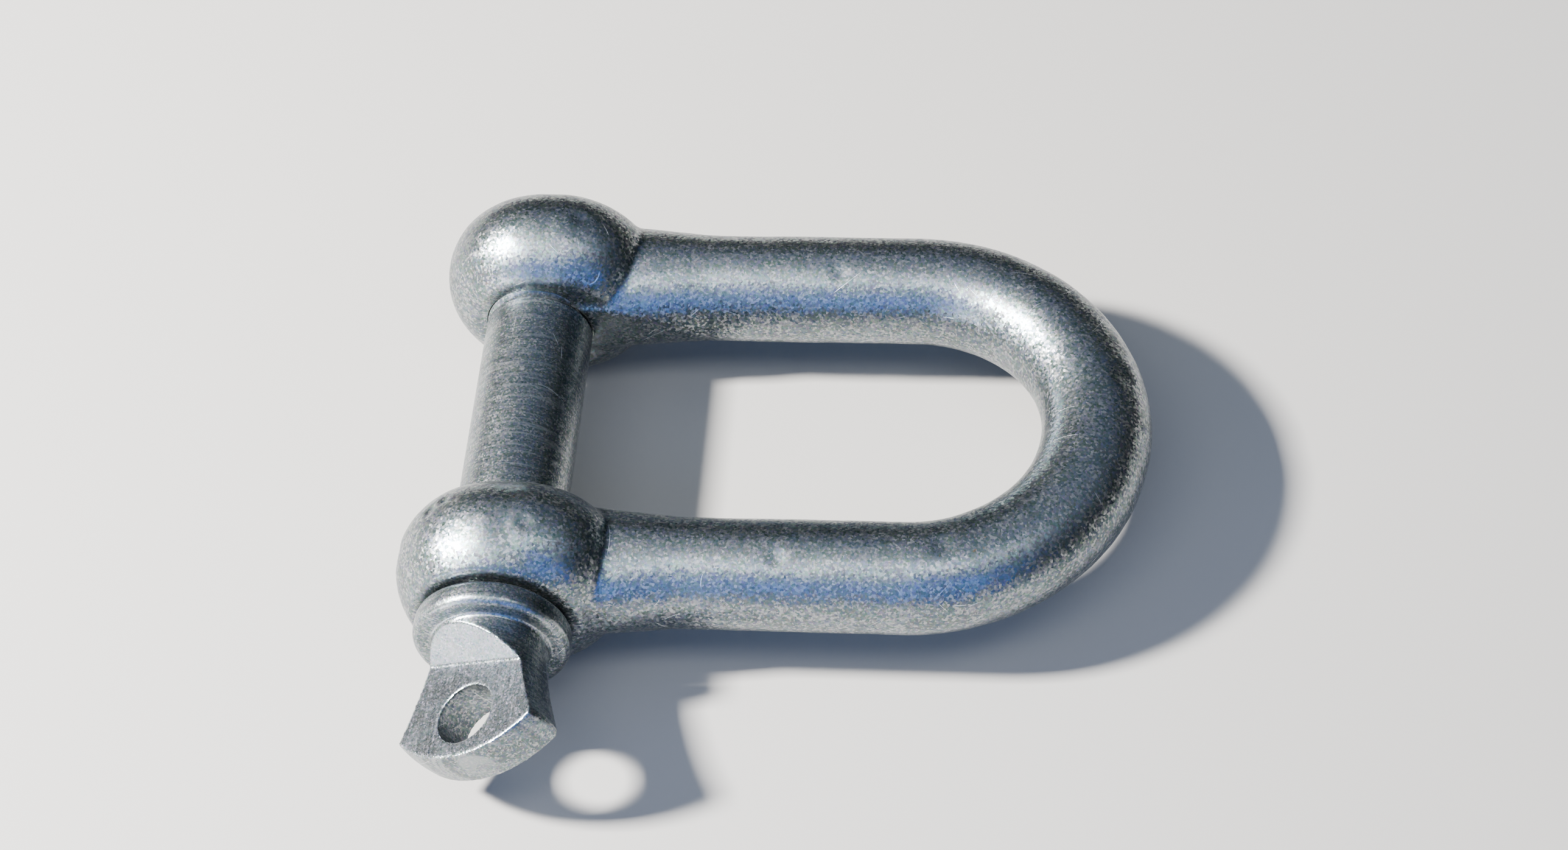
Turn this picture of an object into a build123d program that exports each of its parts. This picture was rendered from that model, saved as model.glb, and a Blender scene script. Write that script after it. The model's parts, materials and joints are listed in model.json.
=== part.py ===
from build123d import *
import math
import os

# Screw pin dee shackle: a round bar bent to a U with a forged ear on each end,
# and a pin that screws into the far ear through a clear hole in the near ear.
# Frame: origin on the pin's axis, midway between the ears. +X runs along the
# legs to the crown, +Y along the pin from its head to its threaded tip, and
# +Z is square to the shackle's plane. Millimetres.

# ---- driving dimensions ----
ROD_D = 16.0  # round bar of the legs and the bow
JAW_WIDTH = 38.0  # between the two ears' inner faces
INSIDE_LENGTH = 68.0  # from the pin's side to the crown's inner side

EAR_WIDTH = 17.4  # each ear, along the pin
EAR_D = 30.2  # each ear at its fullest, at mid width
EAR_FACE_D = 19.4  # the flat on each ear's face
SEAT_MARGIN = 0.7  # the wider flat on the near ear's outer face, past the collar's rim
NEAR_EAR_STRETCH = 3.0  # how far the near ear is drawn out along its leg
FAR_EAR_STRETCH = 2.2

NECK_START = 9.0  # along the leg, where the flared neck leaves the ear
NECK_END = 25.0  # where it has run out into the round bar
NECK_FLARE_Y = 1.9  # the neck's extra half width at its start, along the pin
NECK_FLARE_Z = 0.5  # and square to the shackle's plane
NECK_FLAT = 0.8  # how far the neck's pressed flats stand off the round bar

PIN_D = 16.0  # the plain shank
PIN_HOLE_CLEARANCE = 0.6  # radial, in the near ear's clear hole
UNDERHEAD_SWELL = 0.25  # radial, the forging draft of the shank towards the collar

COLLAR_D = 22.4
COLLAR_WIDTH = 4.0
COLLAR_RIM_R = 1.3
COLLAR_GAP = 0.5  # left between the collar and the ear when screwed home

HEAD_NECK_D = 16.6  # where the head leaves the collar
HEAD_WAIST_LENGTH = 1.8  # from the collar to where the flare begins
HEAD_FLARE_LENGTH = 13.6  # from there to the head's widest place
HEAD_FLARE_SAG = 0.35  # how far the flare bows inward from a straight cone
HEAD_D = 24.0  # at its widest
HEAD_DOME_HEIGHT = 4.8
HEAD_DOME_SKEW = 5.0  # how far the domed end is out of square, degrees
TANG_THICKNESS = 6.5
TANG_SHOULDER = 4.6  # from the collar's face to the foot of the sloped shoulders
TANG_SHOULDER_ANGLE = 54.0  # the shoulders' slope from the pin's axis, degrees
TANG_SHOULDER_SKEW = 13.0  # how far the shoulders' feet are out of square, degrees
TANG_HOLE_D = 9.2
TANG_HOLE_INSET = 7.2  # from the head's domed end to the hole's middle
TANG_TURN = 30.0  # the tang's turn from the shackle's plane, degrees

THREAD_PITCH = 2.0
THREAD_ANGLE = 60.0
THREAD_CREST_SHARE = 0.2  # of the pitch, the flat on each crest
THREAD_ROOT_SHARE = 0.12  # of the pitch, the flat in each root
THREAD_CLEARANCE = 0.15  # radial, and along the pin on each flank
THREAD_LAP = 0.25  # how far the swept ridge and groove run into their walls
THREAD_RUNOUT = 1.0  # plain undercut between the shank and the thread
TIP_PROUD = 1.5  # the pin's tip past the far ear
TIP_CHAMFER_EXTRA = 0.2  # how far the tip's chamfer goes below the thread's root

OVERRUN = 1.0  # how far a cutting shape runs past the face it cuts
NEARLY = 0.01  # the tolerance for finding a corner by its place

# ---- derived places ----
rod_r = ROD_D / 2
pin_r = PIN_D / 2
jaw = JAW_WIDTH / 2
leg_y = jaw + rod_r
ear_y = jaw + EAR_WIDTH / 2
ear_outer = jaw + EAR_WIDTH
seat_d = COLLAR_D + 2 * SEAT_MARGIN
bow_x = pin_r + INSIDE_LENGTH - (leg_y - rod_r)
near_hole_r = pin_r + UNDERHEAD_SWELL + PIN_HOLE_CLEARANCE
collar_back = -(ear_outer + COLLAR_GAP)
collar_front = collar_back - COLLAR_WIDTH
flare_start = collar_front - HEAD_WAIST_LENGTH
head_widest = flare_start - HEAD_FLARE_LENGTH
head_end = head_widest - HEAD_DOME_HEIGHT
tip = ear_outer + TIP_PROUD
thread_start = jaw - THREAD_RUNOUT
flank = math.tan(math.radians(THREAD_ANGLE / 2))
thread_crest = THREAD_PITCH * THREAD_CREST_SHARE
thread_depth = THREAD_PITCH * (1 - THREAD_CREST_SHARE - THREAD_ROOT_SHARE) / (2 * flank)
male_root_r = pin_r - thread_depth
tip_chamfer = thread_depth + TIP_CHAMFER_EXTRA


def revolved(outline):
    """Turn a closed outline, drawn with X as radius and Y along the pin, about the pin's axis."""
    return revolve(make_face(outline), Axis.Y)


def thread_tooth(root_r, crest_r, clearance):
    """The half width of a tooth at a root and a crest radius, both measured from the male thread's tooth."""
    at_root = thread_crest / 2 + (pin_r - root_r) * flank + clearance
    at_crest = thread_crest / 2 + (pin_r - crest_r) * flank + clearance
    return at_root, at_crest


def helical_ridge(root_r, crest_r, clearance, y_from, y_to):
    """One thread's tooth, swept past both ends. Its phase depends only on y = 0, so two threads match."""
    first_turn = math.floor(y_from / THREAD_PITCH) - 1
    turns = math.ceil(y_to / THREAD_PITCH) + 1 - first_turn
    path = Helix(
        pitch=THREAD_PITCH,
        height=turns * THREAD_PITCH,
        radius=root_r,
        center=(0, 0, first_turn * THREAD_PITCH),
    )
    at_root, at_crest = thread_tooth(root_r, crest_r, clearance)
    height = crest_r - root_r
    tooth = Plane(origin=path @ 0, x_dir=(1, 0, 0), z_dir=path % 0) * make_face(
        Polyline((0, -at_root), (height, -at_crest), (height, at_crest), (0, at_root), close=True)
    )
    ridge = sweep(tooth, path=path, is_frenet=True)
    return ridge.rotate(Axis.X, -90)


def slab(y_from, y_to, radius):
    """A round slice of space about the pin's axis."""
    disc = Plane.XZ.offset(-y_from) * Circle(radius)
    return extrude(disc, -(y_to - y_from))


def barrel(side, outer_face_d):
    """Half the section of an ear's barrel, bulging between two flat faces, and the barrel itself."""
    inner_r = EAR_FACE_D / 2
    outer_r = outer_face_d / 2
    belly = (EAR_D / 2, ear_y)
    with BuildSketch() as half_section:
        with BuildLine():
            Line((0, jaw), (inner_r, jaw))
            TangentArc(belly, (inner_r, jaw), tangent=(0, -1))
            TangentArc(belly, (outer_r, ear_outer), tangent=(0, 1))
            Line((outer_r, ear_outer), (0, ear_outer))
            Line((0, ear_outer), (0, jaw))
        make_face()
    section = half_section.sketch
    solid = revolve(section, Axis.Y)
    if side < 0:
        section = mirror(section, Plane.XZ)
        solid = mirror(solid, Plane.XZ)
    return section, solid


def ear(side, stretch):
    """An ear drawn out along its leg. side is -1 for the near ear and 1 for the far one."""
    section, solid = barrel(side, EAR_FACE_D)
    drawn_out = extrude(Rot(0, -90, 0) * section, stretch, dir=(1, 0, 0))
    return solid + Pos(stretch, 0, 0) * solid + drawn_out + mirror(drawn_out, Plane.XY)


def neck(side):
    """The flare from the leg into its ear, with a flat pressed on its inner and its outer side."""
    start = Plane(origin=(NECK_START, side * leg_y, 0), x_dir=(0, 1, 0), z_dir=(1, 0, 0))
    end = Plane(origin=(NECK_END, side * leg_y, 0), x_dir=(0, 1, 0), z_dir=(1, 0, 0))
    flared = start * Ellipse(rod_r + NECK_FLARE_Y, rod_r + NECK_FLARE_Z)
    plain = end * Circle(rod_r)
    envelope = loft([flared, plain])
    between_flats = Pos(NECK_END / 2, side * leg_y, 0) * Box(NECK_END * 2, ROD_D + 2 * NECK_FLAT, ROD_D * 2)
    return envelope & between_flats


def tang_cut(face):
    """What is cut from one side of the head: a flat, and a shoulder that slopes up towards the collar's face."""
    foot_y = collar_front - TANG_SHOULDER
    half = TANG_THICKNESS / 2
    slope = math.tan(math.radians(TANG_SHOULDER_ANGLE))
    outline = Polyline(
        (foot_y, face * half),
        (foot_y + HEAD_D, face * (half + HEAD_D * slope)),
        (head_end - HEAD_D, face * (half + HEAD_D * slope)),
        (head_end - HEAD_D, face * half),
        close=True,
    )
    block = extrude(Plane.YZ * make_face(outline), HEAD_D * 2, both=True)
    skewed = Pos(0, foot_y, 0) * Rot(0, 0, -face * TANG_SHOULDER_SKEW) * Pos(0, -foot_y, 0) * block
    return skewed & slab(head_end - OVERRUN, collar_front, HEAD_D)


def dome_cut():
    """What is cut from the blunt head to leave its dome, a part of a ball turned out of square with the pin."""
    ball_r = ((HEAD_D / 2) ** 2 + HEAD_DOME_HEIGHT**2) / (2 * HEAD_DOME_HEIGHT)
    skew = math.radians(HEAD_DOME_SKEW)
    reach = ball_r - HEAD_DOME_HEIGHT
    ball = Pos(reach * math.sin(skew), head_widest + reach * math.cos(skew), 0) * Sphere(ball_r)
    return slab(head_end - 2 * OVERRUN, head_widest + HEAD_DOME_HEIGHT, HEAD_D) - ball


def make_body():
    path = Line((0, -leg_y, 0), (bow_x, -leg_y, 0))
    path += CenterArc((bow_x, 0, 0), leg_y, -90, 180)
    path += Line((bow_x, leg_y, 0), (0, leg_y, 0))
    start = Plane(origin=(0, -leg_y, 0), x_dir=(0, 1, 0), z_dir=(1, 0, 0))
    bar = sweep(start * Circle(rod_r), path=path)
    collar_seat = barrel(-1, seat_d)[1]
    body = bar + ear(-1, NEAR_EAR_STRETCH) + ear(1, FAR_EAR_STRETCH) + collar_seat + neck(-1) + neck(1)
    # the ears' outer faces are dressed flat round the pin, whatever the bar's size
    body -= slab(-ear_outer - ROD_D, -ear_outer, seat_d / 2)
    body -= slab(ear_outer, ear_outer + ROD_D, seat_d / 2)
    body -= slab(-ear_outer - OVERRUN, -jaw + OVERRUN, near_hole_r)
    minor_r = male_root_r + THREAD_CLEARANCE
    tapped = slab(jaw - OVERRUN, ear_outer + OVERRUN, minor_r)
    groove = helical_ridge(minor_r - THREAD_LAP, pin_r + THREAD_CLEARANCE, THREAD_CLEARANCE, jaw, ear_outer)
    return body - tapped - groove


def make_pin():
    # shank, collar and head: half the section, as radius and place along the pin
    swell_r = pin_r + UNDERHEAD_SWELL
    flare_mid = (
        (HEAD_NECK_D / 2 + HEAD_D / 2) / 2 - HEAD_FLARE_SAG,
        (flare_start + head_widest) / 2,
    )
    with BuildSketch() as section:
        with BuildLine():
            Polyline(
                (0, tip),
                (pin_r - tip_chamfer, tip),
                (male_root_r, tip - TIP_CHAMFER_EXTRA),
                (male_root_r, thread_start),
                (pin_r, thread_start - thread_depth / 2),
                (pin_r, -jaw),
                (swell_r, collar_back),
                (COLLAR_D / 2, collar_back),
                (COLLAR_D / 2, collar_front),
                (HEAD_NECK_D / 2, collar_front),
                (HEAD_NECK_D / 2, flare_start),
            )
            ThreePointArc((HEAD_NECK_D / 2, flare_start), flare_mid, (HEAD_D / 2, head_widest))
            Line((HEAD_D / 2, head_widest), (HEAD_D / 2, head_end - OVERRUN))
            Line((HEAD_D / 2, head_end - OVERRUN), (0, head_end - OVERRUN))
            Line((0, head_end - OVERRUN), (0, tip))
        make_face()
        corners = [v for v in section.vertices() if abs(v.X - COLLAR_D / 2) < NEARLY]
        fillet([v for v in corners if v.Y > collar_front - NEARLY], COLLAR_RIM_R)
    turned = revolve(section.sketch, Axis.Y)
    hole_y = head_end + TANG_HOLE_INSET
    hole = Pos(0, hole_y, 0) * Cylinder(TANG_HOLE_D / 2, HEAD_D)
    turned = turned - dome_cut() - tang_cut(-1) - tang_cut(1) - hole
    turned = turned.rotate(Axis.Y, -TANG_TURN)
    # the thread's tooth, trimmed to the shank's diameter and to the chamfered tip
    tooth_end = thread_start + THREAD_RUNOUT / 2
    blank = revolved(
        Polyline(
            (0, tooth_end),
            (pin_r, tooth_end),
            (pin_r, tip - tip_chamfer),
            (pin_r - tip_chamfer, tip),
            (0, tip),
            close=True,
        )
    )
    ridge = helical_ridge(male_root_r - THREAD_LAP, pin_r + THREAD_LAP, 0.0, tooth_end, tip)
    return turned + (ridge & blank)


pin = make_pin()
body = make_body()
os.makedirs("parts", exist_ok=True)
export_step(body, "parts/shackle_body.step")
export_step(pin, "parts/screw_pin.step")
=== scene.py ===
import json
import math

import bmesh
import bpy
from bpy.props import FloatProperty, FloatVectorProperty, PointerProperty
from mathutils import Matrix, Vector


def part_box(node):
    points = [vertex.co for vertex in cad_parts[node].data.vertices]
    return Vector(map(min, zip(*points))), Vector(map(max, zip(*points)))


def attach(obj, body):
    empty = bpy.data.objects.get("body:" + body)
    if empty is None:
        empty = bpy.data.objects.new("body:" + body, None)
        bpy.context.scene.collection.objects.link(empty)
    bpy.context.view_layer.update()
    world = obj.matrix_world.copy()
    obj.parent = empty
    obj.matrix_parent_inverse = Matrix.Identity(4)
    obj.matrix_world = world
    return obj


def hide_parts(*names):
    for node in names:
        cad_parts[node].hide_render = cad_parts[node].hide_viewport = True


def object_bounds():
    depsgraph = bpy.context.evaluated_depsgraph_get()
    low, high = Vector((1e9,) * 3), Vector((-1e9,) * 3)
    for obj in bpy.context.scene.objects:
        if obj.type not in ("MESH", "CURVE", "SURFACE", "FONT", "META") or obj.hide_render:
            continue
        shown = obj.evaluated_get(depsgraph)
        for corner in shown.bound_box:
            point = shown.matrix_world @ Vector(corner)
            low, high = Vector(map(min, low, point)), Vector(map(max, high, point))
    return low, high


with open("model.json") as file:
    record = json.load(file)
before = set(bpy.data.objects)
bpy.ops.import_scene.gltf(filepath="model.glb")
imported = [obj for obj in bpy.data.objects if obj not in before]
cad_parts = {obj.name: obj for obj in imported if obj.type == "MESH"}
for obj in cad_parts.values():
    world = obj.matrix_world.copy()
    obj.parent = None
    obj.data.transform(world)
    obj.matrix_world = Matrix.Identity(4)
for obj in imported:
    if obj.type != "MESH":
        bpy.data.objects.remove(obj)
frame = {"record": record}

bl_info = {
    "name": "Screw Pin Dee Shackle",
    "version": (1, 0, 0),
    "blender": (4, 5, 0),
    "location": "View3D > Sidebar > Shackle",
    "description": "Models a galvanised dee shackle and its screw pin around their packed frame",
    "category": "Object",
}

# The frame: X runs along the legs to the bow, Y along the pin from its head to its tip, Z up.
cad_low, cad_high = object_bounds()
body_low, body_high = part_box("shackle_body")
pin_low, pin_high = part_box("screw_pin")
mounts = {mount["name"]: mount for mount in frame["record"]["mounts"]}
tang_axis = Vector(mounts["tang_hole"]["axis"])

MM = 0.001
HIDDEN = 0.05 * MM  # how far two joined shapes run into each other
OVERRUN = 1.0 * MM  # how far a cutting shape runs past the face it cuts

# The thread's form: its flats as shares of the pitch, and the slope of its flanks.
CREST_SHARE = 0.2
ROOT_SHARE = 0.12
FLANK_SLOPE = math.tan(math.radians(30))
THREAD_STEPS = 72
TIP_CHAMFER_EXTRA = 0.2 * MM


def mount_radius(name):
    return mounts[name]["dims"]["r_mm"] * MM


# ---- sizes and colours that a user would change ----


def length(name, description, default):
    """A length in metres, shown in the scene's units."""
    return FloatProperty(
        name=name, description=description, default=default, subtype="DISTANCE", unit="LENGTH"
    )


def angle(name, description, degrees):
    return FloatProperty(
        name=name, description=description, default=math.radians(degrees), subtype="ANGLE", unit="ROTATION"
    )


def colour(name, description, default):
    return FloatVectorProperty(
        name=name, description=description, default=default, subtype="COLOR", min=0, max=1
    )


def power(name, description, watts):
    return FloatProperty(name=name, description=description, default=watts, min=0, unit="POWER")


class ShackleBodySizes(bpy.types.PropertyGroup):
    """The forged body: a bar bent to a U, with an ear on each end."""

    bar_radius: length("Bar radius", "Round bar of the legs and the bow", mount_radius("bow_saddle"))
    ear_width: length("Ear width", "Each ear, along the pin", 17.4 * MM)
    ear_radius: length("Ear radius", "Each ear at its fullest", body_high.z)
    ear_face_radius: length("Ear face radius", "The flat on each ear's face", 9.7 * MM)
    seat_radius: length("Seat radius", "The wider flat that the collar faces", 11.9 * MM)
    near_stretch: length("Near ear stretch", "How far the near ear is drawn out along its leg", 3.0 * MM)
    far_stretch: length("Far ear stretch", "How far the far ear is drawn out along its leg", 2.2 * MM)
    neck_start: length("Neck start", "Where the flared neck leaves the ear", 9.0 * MM)
    neck_end: length("Neck end", "Where the neck has run out into the round bar", 25.0 * MM)
    neck_flare_y: length("Neck flare across", "Extra half width along the pin", 1.9 * MM)
    neck_flare_z: length("Neck flare up", "Extra half width square to the shackle", 0.5 * MM)
    neck_flat: length("Neck flat", "How far the pressed flats stand off the bar", 0.8 * MM)
    near_hole_radius: length("Near hole radius", "The clear hole that the pin passes", 8.85 * MM)
    hole_chamfer: length("Hole chamfer", "Broken edge of the near ear's hole", 0.4 * MM)
    forging_wave: length("Forging wave", "Height of the long unevenness left by forging", 0.22 * MM)
    forging_ripple: length("Forging ripple", "Height of the short unevenness under the zinc", 0.07 * MM)
    voxel: length("Forging detail", "Mesh size of the forged skin", 0.5 * MM)


class ShacklePinSizes(bpy.types.PropertyGroup):
    """The screw pin: thread, shank, collar and flattened head."""

    shank_radius: length("Shank radius", "The plain shank", mount_radius("jaw_pin"))
    underhead_swell: length("Underhead swell", "Forging draft of the shank at the collar", 0.25 * MM)
    collar_radius: length("Collar radius", "The collar's rim", pin_high.z)
    collar_width: length("Collar width", "The collar, along the pin", 4.0 * MM)
    collar_rim: length("Collar rim round", "Rounding of the collar's rim", 1.3 * MM)
    collar_gap: length("Collar gap", "Left between the collar and the ear", 0.5 * MM)
    neck_radius: length("Head neck radius", "Where the head leaves the collar", 8.3 * MM)
    waist: length("Waist", "From the collar to where the flare begins", 1.8 * MM)
    flare: length("Flare", "From there to the head's widest place", 13.6 * MM)
    flare_sag: length("Flare sag", "How far the flare bows inward", 0.35 * MM)
    head_radius: length("Head radius", "The head at its widest", 12.0 * MM)
    dome: length("Dome", "Height of the head's domed end", 4.8 * MM)
    dome_skew: angle("Dome skew", "How far the domed end is out of square", 5)
    tang_thickness: length("Tang thickness", "Between the head's two flats", 6.5 * MM)
    shoulder: length("Shoulder", "From the collar to the foot of the shoulders", 4.6 * MM)
    shoulder_angle: angle("Shoulder angle", "The shoulders' slope from the pin's axis", 54)
    shoulder_skew: angle("Shoulder skew", "How far the shoulders' feet are out of square", 13)
    thread_pitch: length("Thread pitch", "From one crest to the next", 2.0 * MM)
    thread_clearance: length("Thread clearance", "Between the pin's thread and the ear's", 0.15 * MM)
    thread_runout: length("Thread runout", "Plain undercut behind the thread", 1.0 * MM)
    detail: length("Head detail", "Mesh size of the head's skin", 0.23 * MM)


class ShackleFinish(bpy.types.PropertyGroup):
    """Colours of the zinc, of what lies on it, and of the shade painted into its corners."""

    zinc: colour("Zinc", "Clean plated zinc", (0.56, 0.62, 0.71))
    dull_zinc: colour("Dull zinc", "Zinc that has weathered", (0.19, 0.23, 0.27))
    worked_zinc: colour("Machined zinc", "Zinc where it is machined or worn bright", (0.90, 0.93, 0.96))
    # The dark colour below is dirt in blotches and pits, and painted shade in the corners.
    grime_and_shade: colour("Grime", "Dark film in the corners", (0.050, 0.062, 0.048))
    rust: colour("Rust", "Small rust stains", (0.30, 0.17, 0.08))
    grain: length("Zinc grain", "Size of the zinc's crystals", 0.34 * MM)


class ShackleStage(bpy.types.PropertyGroup):
    """The floor, the lights and the camera."""

    floor: colour("Floor", "The plain floor", (0.32, 0.31, 0.295))
    key_power: power("Key light", "Power of the small, strong light", 52.0)
    low_power: power("Low card", "Power of the low card at the head", 1.5)
    card_power: power("Front card", "Power of the cool card in front", 5.5)
    sky_power: power("Top light", "Power of the top light", 4.0)
    azimuth: angle("Camera azimuth", "How far the camera stands round to the right", 8.126)
    elevation: angle("Camera elevation", "How far the camera looks down", 50.624)
    roll: angle("Camera roll", "How far the camera leans", -5.10)
    distance: length("Camera distance", "From the camera to the place it looks at", 497.4 * MM)
    focus: FloatVectorProperty(
        name="Camera focus",
        description="The place the camera looks at",
        default=(38.0 * MM, 2.4 * MM, -2.4 * MM),
        subtype="XYZ",
        unit="LENGTH",
    )
    focal_length: FloatProperty(
        name="Focal length", description="The camera's lens", default=77.29, subtype="DISTANCE_CAMERA"
    )


def body_sizes():
    return bpy.context.scene.shackle_body


def pin_sizes():
    return bpy.context.scene.shackle_pin


def finish_values():
    return bpy.context.scene.shackle_finish


# ---- places worked out from the sizes ----


def jaw():
    """The ears' inner faces, from the middle."""
    return body_high.y - body_sizes().ear_width


def leg_y():
    return jaw() + body_sizes().bar_radius


def bow_x():
    return body_high.x - leg_y() - body_sizes().bar_radius


def collar_back():
    return body_low.y - pin_sizes().collar_gap


def collar_front():
    return collar_back() - pin_sizes().collar_width


def thread_depth():
    """From the crest to the root."""
    return pin_sizes().thread_pitch * (1 - CREST_SHARE - ROOT_SHARE) / (2 * FLANK_SLOPE)


# ---- modelling helpers ----


def alone(obj):
    """Select and activate one object, out of edit mode."""
    if bpy.context.object and bpy.context.object.mode != "OBJECT":
        bpy.ops.object.mode_set(mode="OBJECT")
    bpy.ops.object.select_all(action="DESELECT")
    bpy.context.view_layer.objects.active = obj
    obj.select_set(True)
    return obj


def added(name):
    """Name the primitive that was just added, with its place put into its mesh."""
    obj = bpy.context.object
    obj.name = name
    bpy.ops.object.transform_apply(location=True, rotation=True, scale=True)
    return obj


def edit(obj, select="SELECT"):
    alone(obj)
    bpy.ops.object.mode_set(mode="EDIT")
    bpy.ops.mesh.select_mode(type="VERT")
    bpy.ops.mesh.select_all(action=select)


def leave_edit():
    bpy.ops.object.mode_set(mode="OBJECT")


def pick(obj, test):
    """In edit mode, select the vertices whose place passes the test."""
    bpy.ops.mesh.select_all(action="DESELECT")
    mesh = bmesh.from_edit_mesh(obj.data)
    for vertex in mesh.verts:
        if test(vertex.co):
            vertex.select_set(True)
    mesh.select_flush(True)
    bmesh.update_edit_mesh(obj.data)


def close_up(obj, distance=0.001 * MM):
    """Merge doubles, then turn every face outwards."""
    edit(obj)
    bpy.ops.mesh.remove_doubles(threshold=distance)
    bpy.ops.mesh.normals_make_consistent(inside=False)
    leave_edit()


def apply(obj, kind, **settings):
    """Add a modifier, set it up and apply it."""
    modifier = obj.modifiers.new(kind.lower(), kind)
    for key, value in settings.items():
        setattr(modifier, key, value)
    alone(obj)
    bpy.ops.object.modifier_apply(modifier=modifier.name)


def combine(obj, tool, operation):
    """Unite, cut or intersect with another solid, and remove it."""
    apply(obj, "BOOLEAN", operation=operation, object=tool, solver="MANIFOLD")
    bpy.data.objects.remove(tool)
    if not obj.data.polygons:
        raise RuntimeError(f"nothing is left of {obj.name} after {operation}")


def outline(name, points):
    """A line of edges in the plane of X and Y, through points given as (place along the pin, radius)."""
    bpy.ops.mesh.primitive_plane_add(size=MM)
    obj = added(name)
    edit(obj)
    bpy.ops.mesh.merge(type="CENTER")
    place, radius = points[0]
    bpy.ops.transform.translate(value=(radius, place, 0))
    for (y_from, r_from), (y_to, r_to) in zip(points, points[1:]):
        step = (r_to - r_from, y_to - y_from, 0)
        bpy.ops.mesh.extrude_vertices_move(TRANSFORM_OT_translate={"value": step})
    leave_edit()
    return obj


def turned(name, points, steps=96):
    """A solid turned about the pin's axis. The outline starts and ends on the axis."""
    obj = outline(name, points)
    edit(obj)
    bpy.ops.mesh.spin(steps=steps, angle=math.tau, center=(0, 0, 0), axis=(0, 1, 0))
    close_up(obj)
    return obj


def arc(centre, radius, start, end, steps):
    """Points (place, radius) along an arc; angles in degrees, from the pin's axis."""
    points = []
    for i in range(steps + 1):
        angle = math.radians(start + (end - start) * i / steps)
        points.append((centre[0] + radius * math.cos(angle), centre[1] + radius * math.sin(angle)))
    return points


def forged_skin(obj, voxel, smoothing):
    """Weld everything in the mesh into one skin with softened corners."""
    apply(obj, "REMESH", mode="VOXEL", voxel_size=voxel)
    apply(obj, "SMOOTH", factor=0.5, iterations=smoothing)


def uneven(obj, name, size, height):
    """Displace the skin by soft noise of this size and height."""
    texture = bpy.data.textures.new(name, "CLOUDS")
    texture.noise_scale = size
    texture.noise_depth = 1
    apply(obj, "DISPLACE", texture=texture, texture_coords="LOCAL", strength=height, mid_level=0.5)


def dent(obj, place, depth, size):
    """Press the skin in, or out for a negative depth, around the point of it nearest to a place."""
    found, spot, normal, _ = obj.closest_point_on_mesh(place)
    if not found:
        raise RuntimeError("a dent has nothing to press")
    edit(obj, "DESELECT")
    mesh = bmesh.from_edit_mesh(obj.data)
    nearest = min(mesh.verts, key=lambda v: (v.co - spot).length_squared)
    nearest.select_set(True)
    bmesh.update_edit_mesh(obj.data)
    bpy.ops.transform.translate(
        value=-depth * normal,
        use_proportional_edit=True,
        proportional_edit_falloff="SMOOTH",
        proportional_size=size,
    )
    leave_edit()


def threaded_rod(name, extra, y_from, y_to):
    """A rod with a right-hand thread, larger than the pin's by extra, and a few turns longer than asked."""
    sizes = pin_sizes()
    pitch = sizes.thread_pitch
    crest_r = sizes.shank_radius + extra
    root_r = sizes.shank_radius - thread_depth() + extra
    half_crest = CREST_SHARE / 2 * pitch + extra
    half_root = half_crest + thread_depth() * FLANK_SLOPE
    tooth = [(-pitch / 2, root_r), (-half_root, root_r), (-half_crest, crest_r)]
    tooth += [(half_crest, crest_r), (half_root, root_r), (pitch / 2, root_r)]
    first = math.floor(y_from / pitch) - 2
    turns = math.ceil(y_to / pitch) + 2 - first
    rod = outline(name, [(place + first * pitch, radius) for place, radius in tooth])
    apply(
        rod,
        "SCREW",
        axis="Y",
        angle=math.tau,
        screw_offset=pitch,
        iterations=turns,
        steps=THREAD_STEPS,
        render_steps=THREAD_STEPS,
    )
    close_up(rod)
    for end in (first * pitch, (first + turns) * pitch):
        cap_end(rod, end, turns * pitch / 2)
    close_up(rod)
    return rod


def cap_end(obj, place, reach):
    """Draw the open edge within reach of a place along the pin in to one point there, on the axis."""
    edit(obj, "DESELECT")
    bpy.ops.mesh.select_mode(type="EDGE")
    bpy.ops.mesh.select_non_manifold(
        extend=False, use_wire=False, use_multi_face=False, use_non_contiguous=False
    )
    bpy.ops.mesh.select_mode(type="VERT")
    mesh = bmesh.from_edit_mesh(obj.data)
    for vertex in mesh.verts:
        if vertex.select and abs(vertex.co.y - place) > reach:
            vertex.select_set(False)
    mesh.select_flush_mode()
    bmesh.update_edit_mesh(obj.data)
    bpy.ops.mesh.extrude_edges_move()
    bpy.ops.mesh.merge(type="CENTER")
    mesh = bmesh.from_edit_mesh(obj.data)
    tip = next(vertex for vertex in mesh.verts if vertex.select)
    bpy.ops.transform.translate(value=Vector((0, place, 0)) - tip.co)
    leave_edit()


# ---- the body ----


def barrel(name, side, outer_face_radius, stretch):
    """An ear: a bulging barrel about the pin's axis, drawn out along its leg."""
    sizes = body_sizes()
    half = sizes.ear_width / 2
    middle = jaw() + half
    points = [(middle + half, 0)]
    for face_radius, outward in ((outer_face_radius, 1), (sizes.ear_face_radius, -1)):
        rise = sizes.ear_radius - face_radius
        bulge = (rise**2 + half**2) / (2 * rise)
        tilt = math.degrees(math.asin(half / bulge))
        start, end = (90 - tilt, 90) if outward > 0 else (90, 90 + tilt)
        points += arc((middle, sizes.ear_radius - bulge), bulge, start, end, 14)
    points.append((middle - half, 0))
    obj = turned(name, [(side * place, radius) for place, radius in points], 72)
    edit(obj, "DESELECT")
    pick(obj, lambda co: co.x > HIDDEN)
    bpy.ops.transform.translate(value=(stretch, 0, 0))
    leave_edit()
    return obj


def ring_step(x_from, x_to, y, scale_from, scale_to):
    """Extrude the selected ring of the bar along its leg and give it a new width and height."""
    bpy.ops.mesh.extrude_region_move(TRANSFORM_OT_translate={"value": (x_to - x_from, 0, 0)})
    across, up = (new / old for new, old in zip(scale_to, scale_from))
    bpy.ops.transform.resize(value=(1, across, up), center_override=(x_to, y, 0))


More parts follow.
